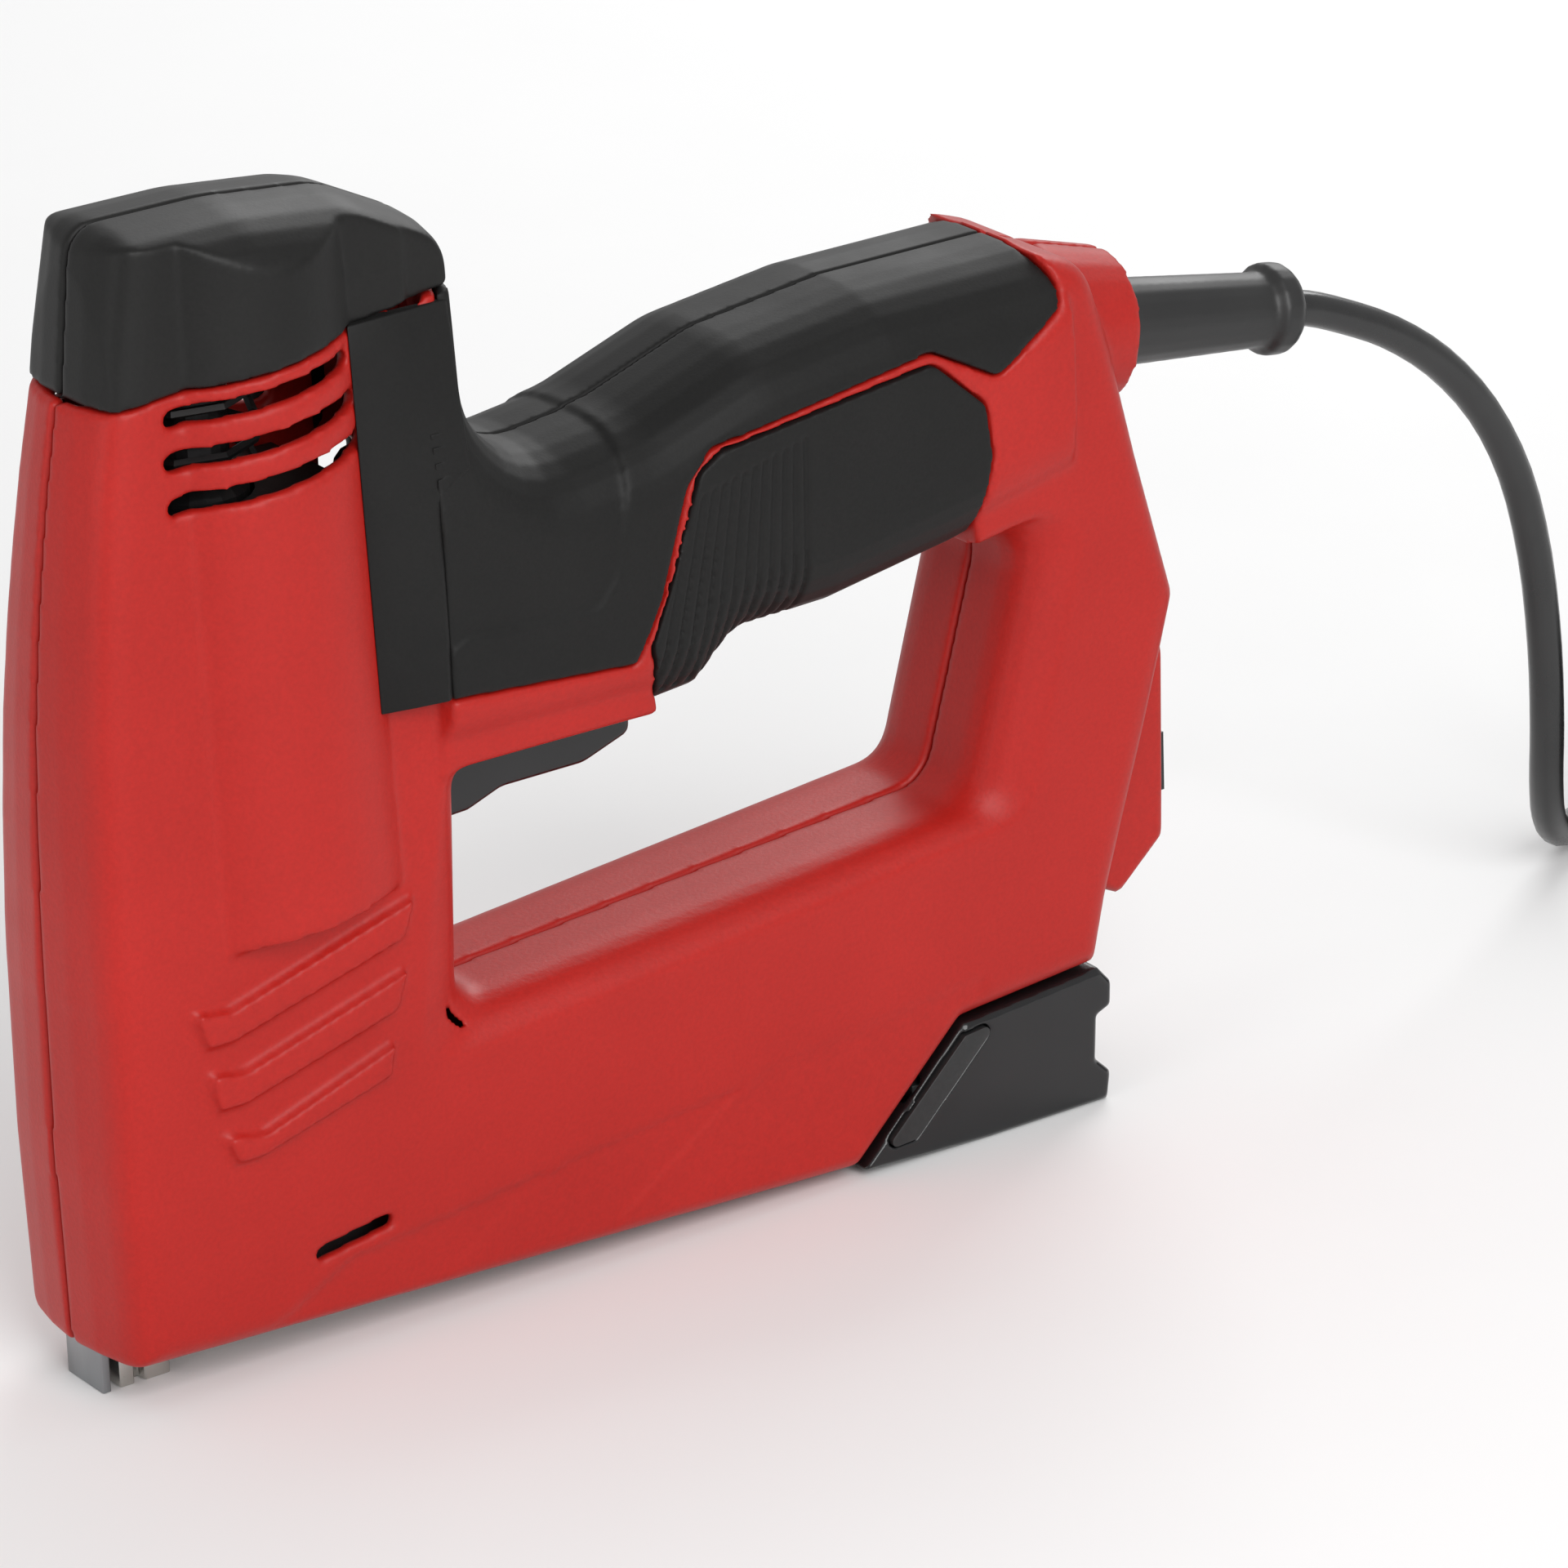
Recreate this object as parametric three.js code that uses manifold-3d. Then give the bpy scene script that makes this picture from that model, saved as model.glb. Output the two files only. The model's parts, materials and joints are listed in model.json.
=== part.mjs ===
// Electric staple gun with a closed hand grip, drawer magazine and mains cord.
// Millimetres, +Z up. X runs from the staple nose to the rear, Y across the tool.
// The origin is the centre of the lower edge of the nose plate, where it meets the work.
import * as THREE from 'three';
import { mergeVertices } from 'three/addons/utils/BufferGeometryUtils.js';
import Module from 'manifold-3d';

const wasm = await Module();
wasm.setup();

// ---- driving dimensions ----
const GAP = 0.3;            // clearance between pieces that touch
const SEAM = 0.15;          // each shell half stops this far from the middle plane
const WALL = 2.5;           // moulded wall of the housing
const GRIP = 2.4;           // soft grip layer with its clearance
const BODY_HALF = 18.5;     // half width of beam and column
const HANDLE_HALF = 21;     // half width of the padded handle
const BARREL_X = 36.5;      // axis of the solenoid barrel
const BARREL_TOP_R = 19.8;
const BARREL_BOTTOM_R = 24.6;
const BARREL_STRETCH = 1.06;
const COIL_X = 30;          // axis of solenoid and plunger
const BLADE_X = 1.8;        // plane of the driver blade
const STAPLE_HALF = 5.4;    // half width of blade, nose and rail, for 11.4 mm staples
const NOSE_TOP = 24;        // top of the nose plate inside the housing
const RAIL_REAR = 150;
const BLOCK_HALF = 17.2;    // half width of the magazine end block
const CORD_R = 3.1;
const SLEEVE_TILT = 0.15;   // radians that the cord exit points downwards
const EXIT_AXIS = [203, 0, 133.6];  // a point on the axis of the cord exit
const TRIGGER_PIN = [72.4, 0, 97.6];
const ROCKER_TILT = THREE.MathUtils.degToRad(8);
const HANK_ENDS = [365, 395];       // centres of the stored hank's two folds
const HANK_REACH = 33.1;    // from those centres to the outside of the hank
const HANK_CORE = 15.5;     // and to its inside
const HANK_FOOT = 1.1;      // the tie under the hank lifts it this far
const PLUG_START = [457.6, 15.5];   // where the tail enters the plug
const PLUG_Z = 7;

// ---- colours ----
const finish = (color, roughness, metalness = 0) => ({ color, roughness, metalness });
const RED = finish(0xb9261f, 0.5);
const SOFT_BLACK = finish(0x1c1b1a, 0.75);
const HARD_BLACK = finish(0x101012, 0.3);
const STEEL = finish(0x7f8386, 0.35, 1);
const ZINC = finish(0xc9c6bd, 0.25, 1);
const SPRING_STEEL = finish(0x9a9a98, 0.3, 1);
const COPPER = finish(0xb4602c, 0.35, 1);
const BOARD = finish(0x2d5a35, 0.5);
const NYLON = finish(0xd9d5c6, 0.5);
const RUBBER = finish(0x151515, 0.6);

const group = new THREE.Group();

function add(name, geometry, look) {
  const mesh = new THREE.Mesh(geometry, new THREE.MeshStandardMaterial(look));
  mesh.name = name;
  group.add(mesh);
  return mesh;
}

// ---- geometry helpers ----
// Turns an outline of [x, z, corner radius] rows into points, with round corners as arcs.
function outline(rows, steps = 4) {
  const points = [];
  rows.forEach(([x, z, r = 0], i) => {
    const corner = new THREE.Vector2(x, z);
    if (r === 0) {
      points.push(corner);
      return;
    }
    const before = new THREE.Vector2(...rows.at(i - 1).slice(0, 2)).sub(corner).normalize();
    const after = new THREE.Vector2(...rows[(i + 1) % rows.length].slice(0, 2)).sub(corner).normalize();
    const half = Math.acos(THREE.MathUtils.clamp(before.dot(after), -1, 1)) / 2;
    const middle = before.clone().add(after).normalize();
    const centre = corner.clone().addScaledVector(middle, r / Math.sin(half));
    const from = corner.clone().addScaledVector(before, r / Math.tan(half)).sub(centre);
    const to = corner.clone().addScaledVector(after, r / Math.tan(half)).sub(centre);
    const turn = Math.atan2(from.cross(to), from.dot(to));
    for (let k = 0; k <= steps; k += 1) {
      points.push(from.clone().rotateAround(new THREE.Vector2(), (turn * k) / steps).add(centre));
    }
  });
  return points;
}

// Moves every side of a counter-clockwise outline inwards by a distance.
function inset(points, distance) {
  const normal = (a, b) => new THREE.Vector2(a.y - b.y, b.x - a.x).normalize();
  return points.map((point, i) => {
    const n1 = normal(points.at(i - 1), point);
    const n2 = normal(point, points[(i + 1) % points.length]);
    const mitre = n1.clone().add(n2);
    return point.clone().addScaledVector(mitre, distance / (1 + n1.dot(n2)));
  });
}

function toSolid(geometry) {
  const bare = geometry.clone();
  bare.deleteAttribute('normal');
  bare.deleteAttribute('uv');
  const merged = mergeVertices(bare, 1e-3);
  return new wasm.Manifold(new wasm.Mesh({
    numProp: 3,
    vertProperties: new Float32Array(merged.attributes.position.array),
    triVerts: new Uint32Array(merged.index.array),
  }));
}

function toGeometry(solid) {
  const mesh = solid.getMesh();
  const geometry = new THREE.BufferGeometry();
  geometry.setAttribute('position', new THREE.BufferAttribute(mesh.vertProperties, 3));
  geometry.setIndex(new THREE.BufferAttribute(mesh.triVerts, 1));
  return geometry;
}

// A side-view outline in X and Z, drawn out along Y from one plane to another.
function plateGeometry(points, yLow, yHigh, holes = []) {
  const shape = new THREE.Shape(points);
  shape.holes = holes.map((hole) => new THREE.Path(hole));
  const geometry = new THREE.ExtrudeGeometry(shape, { depth: yHigh - yLow, bevelEnabled: false });
  return geometry.rotateX(Math.PI / 2).translate(0, yHigh, 0);
}
const plate = (...args) => toSolid(plateGeometry(...args));

// The same, symmetrical about the middle plane, with its outer edges chamfered or rounded.
function pillow(points, half, bevel, segments, holes = []) {
  const shape = new THREE.Shape(points);
  shape.holes = holes.map((hole) => new THREE.Path(hole));
  const geometry = new THREE.ExtrudeGeometry(shape, {
    depth: 2 * (half - bevel),
    bevelThickness: bevel,
    bevelSize: bevel,
    bevelOffset: -bevel,
    bevelSegments: segments,
  });
  return toSolid(geometry.rotateX(Math.PI / 2).translate(0, half - bevel, 0));
}

// Moves the sides of [x, z, corner radius] rows inwards and keeps their corners round.
function shrinkRows(rows, distance) {
  const corners = inset(rows.map(([x, z]) => new THREE.Vector2(x, z)), distance);
  return rows.map(([x, z, r = 0], i) => {
    const before = rows.at(i - 1);
    const after = rows[(i + 1) % rows.length];
    const turn = (x - before[0]) * (after[1] - z) - (z - before[1]) * (after[0] - x);
    const radius = r === 0 ? 0 : Math.max(0.4, turn > 0 ? r - distance : r + distance);
    return [corners[i].x, corners[i].y, radius];
  });
}

// A closed solid through rings with the same number of points, first to last.
function loft(rings, upright = false) {
  const count = rings[0].length;
  const positions = rings.flat().flatMap((point) => point.toArray());
  const flat = (ring) => ring.map((point) => new THREE.Vector2(point.x, upright ? -point.y : point.z));
  const index = [];
  for (let k = 0; k + 1 < rings.length; k += 1) {
    for (let i = 0; i < count; i += 1) {
      const a = k * count + i;
      const b = k * count + ((i + 1) % count);
      index.push(a, b + count, b, a, a + count, b + count);
    }
  }
  for (const triangle of THREE.ShapeUtils.triangulateShape(flat(rings[0]), [])) {
    index.push(...triangle);
  }
  const last = (rings.length - 1) * count;
  for (const [a, b, c] of THREE.ShapeUtils.triangulateShape(flat(rings.at(-1)), [])) {
    index.push(last + a, last + c, last + b);
  }
  const geometry = new THREE.BufferGeometry();
  geometry.setAttribute('position', new THREE.Float32BufferAttribute(positions, 3));
  geometry.setIndex(index);
  return toSolid(geometry.toNonIndexed());
}

// Side-view rings drawn across the tool, from [half width, rows] pairs that start at the middle.
function crosswise(sections) {
  const ring = (y, rows) => outline(rows).map((point) => new THREE.Vector3(point.x, y, point.y));
  const far = sections.map(([half, rows]) => ring(half, rows));
  const near = sections.slice(1).map(([half, rows]) => ring(-half, rows)).reverse();
  return loft([...near, ...far]);
}

// A plan-view outline in X and Y, drawn out upwards.
function slabGeometry(points, zLow, zHigh) {
  const shape = new THREE.Shape(points);
  const geometry = new THREE.ExtrudeGeometry(shape, { depth: zHigh - zLow, bevelEnabled: false });
  return geometry.translate(0, 0, zLow);
}

function boxGeometry(low, high) {
  const size = high.map((value, i) => value - low[i]);
  const middle = high.map((value, i) => (value + low[i]) / 2);
  return new THREE.BoxGeometry(...size).translate(...middle);
}
const box = (low, high) => toSolid(boxGeometry(low, high));

// A turned shape about the Z axis from [radius, z] rows that run upwards.
function turned(rows, segments = 20) {
  const points = rows.map(([r, z]) => new THREE.Vector2(r, z));
  return new THREE.LatheGeometry(points, segments).rotateX(Math.PI / 2);
}
const ring = (inner, outer, zLow, zHigh, segments = 20) => turned(
  [[inner, zLow], [outer, zLow], [outer, zHigh], [inner, zHigh], [inner, zLow]],
  segments,
);
const rod = (radius, zLow, zHigh, segments = 16) => turned(
  [[0, zLow], [radius, zLow], [radius, zHigh], [0, zHigh]],
  segments,
);
// Lays a turned shape along +Y or +X.
const alongY = (geometry) => geometry.rotateX(-Math.PI / 2);
const alongX = (geometry) => geometry.rotateY(Math.PI / 2);

function tube(curve, radius, sides, steps) {
  const section = new THREE.Shape(Array.from({ length: sides }, (_, i) => {
    const turn = (2 * Math.PI * i) / sides;
    return new THREE.Vector2(radius * Math.cos(turn), radius * Math.sin(turn));
  }));
  return new THREE.ExtrudeGeometry(section, { steps, extrudePath: curve, bevelEnabled: false });
}

class Helix extends THREE.Curve {
  constructor(radius, height, turns) {
    super();
    Object.assign(this, { radius, height, turns });
  }

  getPoint(t, target = new THREE.Vector3()) {
    const turn = 2 * Math.PI * this.turns * t;
    return target.set(this.radius * Math.cos(turn), this.radius * Math.sin(turn), this.height * t);
  }
}
const spring = (radius, wire, height, turns) => tube(
  new Helix(radius, height, turns), wire, 5, Math.round(turns * 8),
);

// ---- side-view outlines, counter-clockwise ----
const skin = [
  [-3, 7.6, 2], [141, 1.9], [163, 23.2], [192, 25.6], [194.8, 37.7], [203.3, 65], [207.1, 78],
  [210.2, 89], [203, 115], [197.5, 137, 12], [193, 151, 9], [182, 154.8, 20], [150, 154.6, 60],
  [124, 151.5, 20], [103, 144.2, 10], [72, 141.5, 10], [71.5, 150], [5, 150], [-1.8, 112],
  [-3.4, 77], [-3.9, 40],
];
const gripHole = [
  [66, 52.4, 5], [168, 60.9, 7], [182.5, 110, 7], [165, 106.2, 10], [140, 102.2, 20],
  [121.5, 101.8, 6], [113.5, 94.4], [104, 93.4], [66.8, 94.8, 4],
];
// The hole's edge on the side faces, where its rim has rounded away.
const gripFlare = [
  [53.5, 44.5, 9], [177.5, 57.3, 9], [191.5, 112, 7], [165, 108, 10], [140, 104, 20],
  [121.5, 103.6, 6], [113.5, 96.2], [104, 95.2], [60, 95, 4],
];
// The handle alone, running on past both of its ends.
const handleBar = [
  [25, 94.8], [104, 93.4], [113.5, 94.4, 3], [121.5, 101.8, 6], [140, 102.2, 20], [165, 106.2, 20],
  [215, 117], [215, 154.8], [150, 154.6], [124, 151.5, 30], [103, 144.2, 30], [82, 141.5, 12],
  [74, 152, 14], [71.5, 200], [25, 200],
];
const upperGripArea = outline([
  [59.5, 185], [60.5, 148], [62, 131], [62.8, 108], [98, 105.2, 1], [103.5, 115.7], [109, 132.7, 4],
  [114, 138, 3], [158, 144.4, 4], [171, 137.4, 2], [186, 147, 4], [182, 157], [182, 185],
]);
const lowerGripArea = outline([
  [104.5, 90], [170, 90], [167, 112], [169.4, 124], [168.3, 133, 3], [158, 142.2, 3], [116, 137, 2],
  [111.6, 134.4, 3], [105.3, 117], [101.2, 107.5, 3],
]);
// The line where the cap meets the housing, from the front to the neck.
const CAP_LINE = [[-20, 162.5], [90, 175.8]];
const raise = (distance) => CAP_LINE.map(([x, z]) => [x, z + distance]);
const capZone = plate(outline([...raise(0), [90, 215], [-20, 215]]), -40, 40);
const underCap = plate(outline([[-20, -20], [90, -20], ...raise(-GAP).reverse()]), -40, 40)
  .add(box([71.9, -40, -20], [240, 40, 220]));

// ---- whole outer solids, before they are split ----
function barrel(shrink) {
  const cone = new THREE.CylinderGeometry(BARREL_TOP_R - shrink, BARREL_BOTTOM_R - shrink, 100, 60);
  cone.rotateX(Math.PI / 2).scale(BARREL_STRETCH, 1, 1).translate(BARREL_X, 0, 122);
  const zone = plate(outline([
    [5, 73.5 + shrink], [70, 81 + shrink], [70, 190], [5, 190],
  ]), -40, 40);
  return toSolid(cone).intersect(zone);
}

// Upright front column as [z, front x, half width] rows, with a bowed front and round corners.
const columnRows = [
  [69, -3.6, 18.5], [77, -3.4, 18.4], [95, -2.8, 17.5], [112, -1.8, 16.6], [128, -0.1, 15.8],
  [140, 1.5, 15.1], [151, 3.2, 14.5], [165.4, 5.9, 13.8], [180, 8.6, 13.1],
  [200, 12.4, 12.4],
];
// Front corner of the plan, as shares of the half width and millimetres behind the front.
const FRONT_PLAN = [[0, 0], [0.4, 0.7], [0.73, 2], [0.84, 2.8], [0.92, 4], [0.975, 5.8], [1, 8]];
function column(shrink) {
  return loft(columnRows.map(([z, front, half]) => {
    const near = FRONT_PLAN.map(([share, back]) => [front + back + shrink, -share * (half - shrink)]);
    const far = near.slice(1).map(([x, y]) => [x, -y]).reverse();
    const rear = [[62.2, shrink - half], [62.2, half - shrink]];
    return [...near, ...rear, ...far].reverse().map(([x, y]) => new THREE.Vector3(x, y, z));
  }), true);
}

function bothSides(solid) {
  return solid.add(solid.mirror([0, 1, 0]));
}

// Edge rounding of the beam: [half width, inset of the outline, extra inset of the front].
const BODY_EDGE = [[0, 0, 0], [7.4, 0, 0.7], [13.5, 0, 2], [15.6, 0.5, 2.3], [17.2, 1.7, 2.3],
  [18.1, 3, 2.8], [BODY_HALF, 4.6, 3.4]];
function bodySolid(shrink) {
  const sections = BODY_EDGE.map(([half, edge, front]) => [
    half * (1 - shrink / BODY_HALF),
    shrinkRows(skin, edge + shrink).map(([x, z, r]) => [x < 12 ? x + front : x, z, r]),
  ]);
  const rim = [[0, 0], [9, 0], [12, 0.05], [14.2, 0.16], [16, 0.34], [17.4, 0.6], [18.2, 0.84],
    [19.2, 1.1]].map(([half, share]) => [
    half + (half > 0 ? shrink * 0.4 : 0),
    shrinkRows(gripHole.map(([x, z, r = 0], i) => [
      x + (gripFlare[i][0] - x) * share, z + (gripFlare[i][1] - z) * share, r,
    ]), -shrink),
  ]);
  return crosswise(sections).subtract(box([-20, -40, 72], [62, 40, 200])).add(column(shrink))
    .subtract(crosswise(rim)).add(barrel(shrink)).intersect(underCap);
}

const handleZone = plate(outline([
  [62.6, 96], [187, 96], [187, 145.6], [182.8, 160], [80, 174.2], [62.6, 172.1],
]), -40, 40);
// The neck under the cap narrows upwards: half widths by height.
const neckLimit = loft([[60, 40], [126, 22], [140, 20], [152, 17.6], [164, 14.4], [200, 12]]
  .map(([z, half]) => [[20, half], [80, half], [80, -half], [20, -half]]
    .map(([x, y]) => new THREE.Vector3(x, y, z))), true);
const neckRoom = neckLimit.add(box([79, -40, 0], [240, 40, 220]));

const HANDLE_EDGE = [[0, 0], [6, 0.1], [10, 0.7], [13.5, 1.9], [16.4, 3.7], [18.6, 6], [20.1, 8.8],
  [20.8, 11.4], [HANDLE_HALF, 14]];
function handleSolid(shrink) {
  const shape = crosswise(HANDLE_EDGE.map(([half, edge]) => [
    half * (1 - shrink / HANDLE_HALF), shrinkRows(handleBar, edge + shrink),
  ]));
  return shape.intersect(handleZone).intersect(neckRoom.translate(0, 0, -shrink)).intersect(underCap);
}

const gripArea = (points, extra = 0) => plate(extra ? inset(points, -extra) : points, -40, 40);
const softZone = gripArea(upperGripArea, GAP).add(gripArea(lowerGripArea, GAP));
const fullHandle = handleSolid(0);
const fullBody = bodySolid(0);
const outer = fullBody.subtract(handleZone).add(fullHandle).add(fullBody.subtract(softZone));
const core = outer.subtract(softZone).add(handleSolid(GRIP));
const cavity = bodySolid(WALL).subtract(handleZone)
  .add(handleSolid(GRIP + 2).intersect(handleZone));

// Openings through the shells.
const magazineSlot = box([-1.2, -9.2, -5], [165, 9.2, 22.6]);
const triggerSlot = box([66.4, -7.8, 80], [107.6, 7.8, 104]);
const collarProfile = [
  [0, -30], [8.2, -30], [8.2, -10.8], [10, -10.8], [10, -7.2], [8.2, -7.2], [8.2, 30], [0, 30],
];
const collarHole = toSolid(
  alongX(turned(collarProfile)).rotateY(SLEEVE_TILT).translate(...EXIT_AXIS),
);
const pinHole = toSolid(alongY(rod(2, -12.4, 12.4, 12)).translate(...TRIGGER_PIN));
const collar = toSolid(
  alongX(turned([[0, -12], [15.5, -12], [13.5, 3.2], [0, 3.2]], 24)).rotateY(SLEEVE_TILT)
    .translate(...EXIT_AXIS),
);
const podOutline = outline([[197, 36], [202, 33.5], [211.6, 42], [212.2, 76], [209, 86], [200, 80]]);
const pod = pillow(podOutline, 10.5, 1, 1);
const podCavity = pillow(inset(podOutline, 2.2), 8.4, 0.5, 1).add(box([190, -8, 45], [204, 8, 72]));
const plateRoom = box([-0.95, -8.7, 22], [1.25, 8.7, NOSE_TOP + 18.3]);
const rockerHole = box([205, -7, 50.3], [216, 7, 58.7]);

function slanted(x0, z0, x1, z1, height) {
  return plate(outline([[x0, z0], [x1, z1], [x1, z1 + height], [x0, z0 + height]]), 8, 40);
}
const vents = [
  slanted(17.5, 161.6, 50, 165.6, 2.8), slanted(17.2, 154.6, 51, 158.8, 2.8),
  slanted(17, 147.6, 52, 152, 2.8), slanted(33, 17.8, 48, 20.2, 2.2),
].reduce((all, one) => all.add(one));

// Shallow steps along the foot of the beam: outline and depth.
const steps = [
  [0.9, [[17, 2], [48, 2], [58, 8.3], [77.8, 20.3], [78.3, 21.3], [39.7, 17.1], [24.6, 9.4]]],
  [0.6, [[48, 2], [83, 2], [91.5, 7.5], [119.3, 25.5], [81.6, 21.8], [77.8, 20.3], [58, 8.3]]],
  [0.35, [[83, 2], [140, -2], [167, 20], [167, 31], [158.7, 30.4], [121.8, 26.7], [91.5, 7.5]]],
].map(([depth, rows]) => plate(outline(rows), BODY_HALF - depth, BODY_HALF + 3))
  .reduce((all, one) => all.add(one));

// Wedge ribs low on the column, one above the other.
const ribs = [
  [[13, 67], [19, 66], [54, 76], [52, 70], [19, 61], [14.6, 61]],
  [[15, 56], [21, 55], [52, 64], [50, 58], [21, 50], [16, 50]],
  [[17, 45], [24, 43.5], [49, 52], [48, 47], [23, 40], [19, 40]],
].map((rows) => plate(outline(rows).reverse(), BODY_HALF - 1, BODY_HALF + 1.8))
  .reduce((all, one) => all.add(one));

const screwPlaces = [[11.5, 33], [57, 36], [13.8, 158.6], [66, 138], [177, 124], [181, 72],
  [150, 42], [100, 38]];
const bosses = screwPlaces
  .map(([x, z]) => toSolid(alongY(rod(4, -BODY_HALF + 2.7, BODY_HALF - 2.7, 12)).translate(x, 0, z)))
  .reduce((all, one) => all.add(one));
const screwHoles = screwPlaces.map(([x, z]) => toSolid(
  alongY(turned([[0, -10.1], [2.2, -10.1], [2.2, 9.6], [4.2, 9.6], [4.2, 30], [0, 30]], 12))
    .translate(x, 0, z),
)).reduce((all, one) => all.add(one));
const bossRoom = cavity.intersect(bosses);

let shell = core.add(collar).add(pod).add(bothSides(ribs)).subtract(cavity).subtract(podCavity).add(bossRoom);
shell = shell.subtract(bothSides(vents)).subtract(magazineSlot);
shell = shell.subtract(triggerSlot).subtract(collarHole).subtract(rockerHole).subtract(screwHoles)
  .subtract(pinHole).subtract(plateRoom).subtract(bothSides(steps));

const leftHalf = box([-20, -60, -20], [420, -SEAM, 220]);
const rightHalf = box([-20, SEAM, -20], [420, 60, 220]);
// Keeps the largest body of a cut and drops slivers and loose crumbs.
function whole(solid) {
  const parts = toSolid(toGeometry(solid.simplify(0.05)).toNonIndexed()).decompose();
  return parts.reduce((best, one) => (one.volume() > best.volume() ? one : best));
}
const addSolid = (name, solid, look) => add(name, toGeometry(whole(solid)), look);

addSolid('left_housing', shell.intersect(leftHalf), RED);
addSolid('right_housing', shell.intersect(rightHalf), RED);

// ---- soft grips over the handle ----
const gripStock = fullHandle.subtract(handleSolid(GRIP - GAP));
const panel = plate(outline([
  [55, 112], [66, 117.5, 2], [91, 116, 3], [95, 121], [99.5, 143], [98, 156], [80, 190], [55, 190],
]), -40, 40).subtract(handleSolid(0.5));
const grooves = Array.from({ length: 12 }, (_, k) => {
  const top = [110 + 2 * k, 130.5 + 0.5 * k];
  const foot = [101.6 + 2.7 * k, 98];
  return plate(outline([
    [foot[0] - 0.5, foot[1]], [foot[0] + 0.5, foot[1]], [top[0] + 0.5, top[1]], [top[0] - 0.5, top[1]],
  ]), -40, 40);
}).reduce((all, one) => all.add(one)).subtract(handleSolid(0.6));
const gripScrewRoom = toSolid(alongY(rod(4.4, 5, 40, 12)).translate(66, 0, 138));
for (const [side, half] of [['left', leftHalf], ['right', rightHalf]]) {
  const upper = gripStock.intersect(gripArea(upperGripArea)).intersect(half);
  addSolid(`${side}_upper_grip`, upper.subtract(gripScrewRoom).subtract(panel), SOFT_BLACK);
  const lower = gripStock.intersect(gripArea(lowerGripArea)).intersect(half);
  addSolid(`${side}_lower_grip`, lower.subtract(triggerSlot).subtract(grooves), SOFT_BLACK);
}

// ---- cap over the barrel, in two halves ----
const capDome = [
  [4.6, 145], [74, 145], [72.3, 182, 9], [55, 190.8, 16], [34, 193, 40], [10.3, 192.9, 5.5],
];
const CAP_EDGE = [[0, 0], [6, 0.4], [11, 1.4], [14.5, 2.9], [17, 4.8], [18.8, 7.2], [19.9, 9.8],
  [BARREL_TOP_R + 0.6, 13]];
function capSolid(shrink) {
  const dome = crosswise(CAP_EDGE.map(([half, edge]) => [
    half * (1 - shrink / (BARREL_TOP_R + 0.6)), shrinkRows(capDome, edge + shrink),
  ]));
  const round = new THREE.CylinderGeometry(18.6 - shrink, BARREL_TOP_R + 0.6 - shrink, 36, 60);
  round.rotateX(Math.PI / 2).scale(BARREL_STRETCH, 1, 1).translate(BARREL_X, 0, 180);
  const plan = toSolid(round).add(column(shrink - 0.4))
    .add(box([40, -12.8 + shrink, 160], [76, 12.8 - shrink, 200]));
  return dome.intersect(plan);
}
const cap = capSolid(0).subtract(capSolid(WALL)).intersect(capZone);
addSolid('left_cap', cap.intersect(leftHalf), SOFT_BLACK);
addSolid('right_cap', cap.intersect(rightHalf), SOFT_BLACK);

// ---- housing screws, heads on the right ----
screwPlaces.forEach(([x, z], i) => {
  const screw = turned([[0, -9.6], [1.8, -9], [1.8, 10], [3.6, 10], [3.6, 11.6], [2.4, 12.6], [0, 12.6]], 12);
  add(`housing_screw_${i + 1}`, alongY(screw).translate(x, 0, z), STEEL);
});

// ---- nose and magazine ----
const nosePlate = box([-0.65, -STAPLE_HALF - 0.1, 0], [0.95, STAPLE_HALF + 0.1, NOSE_TOP + 20]);
const plateTabs = box([-0.65, -8.4, NOSE_TOP], [0.95, 8.4, NOSE_TOP + 18]);
addSolid('nose_plate', nosePlate.add(plateTabs), STEEL);

const railTip = box([2.65, -STAPLE_HALF, 0], [12.4, STAPLE_HALF, 15.6])
  .subtract(box([5.4, -6, -1], [7.2, -3.4, 16])).subtract(box([5.4, 3.4, -1], [7.2, 6, 16]))
  .subtract(box([8.6, -2.6, -1], [13, 2.6, 12]));
const rail = box([12.4, -STAPLE_HALF, 3.4], [RAIL_REAR, STAPLE_HALF, 15.6])
  .subtract(box([13.8, -STAPLE_HALF + 1.1, 4.5], [RAIL_REAR + 1, STAPLE_HALF - 1.1, 16]))
  .subtract(box([143, -8, 0], [160, 8, 4.2]));
addSolid('magazine_tip', railTip.subtract(box([12.1, -8, -1], [14, 8, 20])), ZINC);
addSolid('magazine_rail', rail, ZINC);

const channel = box([6.4, -8.3, 5.6], [147, 8.3, 20.4])
  .subtract(box([5, -7.2, -1], [148, 7.2, 19.2]))
  .subtract(box([5, -9, -1], [16, 9, 9]));
addSolid('magazine_channel', channel, STEEL);

const blockOutline = outline([
  [141.4, 1.4], [168, 0], [193.6, 0], [194.3, 5], [191.2, 8], [191.6, 16], [194.6, 17.2],
  [194.8, 21.6], [192, 24.9], [163.4, 22.6],
]);
const blockRoom = box([130, -5.8, 3.6], [RAIL_REAR + 1, 5.8, 30]).add(box([130, -9, 3.6], [149, 9, 30]));
const buttonOutline = outline([
  [145.6, 4.2, 1], [152.4, 4.6, 1.5], [170, 21.4, 1], [163, 20.6, 1],
]);
const buttonPocket = plate(inset(buttonOutline, -GAP), 12.2, 30);
const latchRoom = box([151.4, -15.6, 7.8], [161.4, 15.6, 14.2]);
addSolid('magazine_end_block', pillow(blockOutline, BLOCK_HALF, 0.9, 1)
  .subtract(blockRoom).subtract(bothSides(buttonPocket)).subtract(latchRoom), HARD_BLACK);
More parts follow.
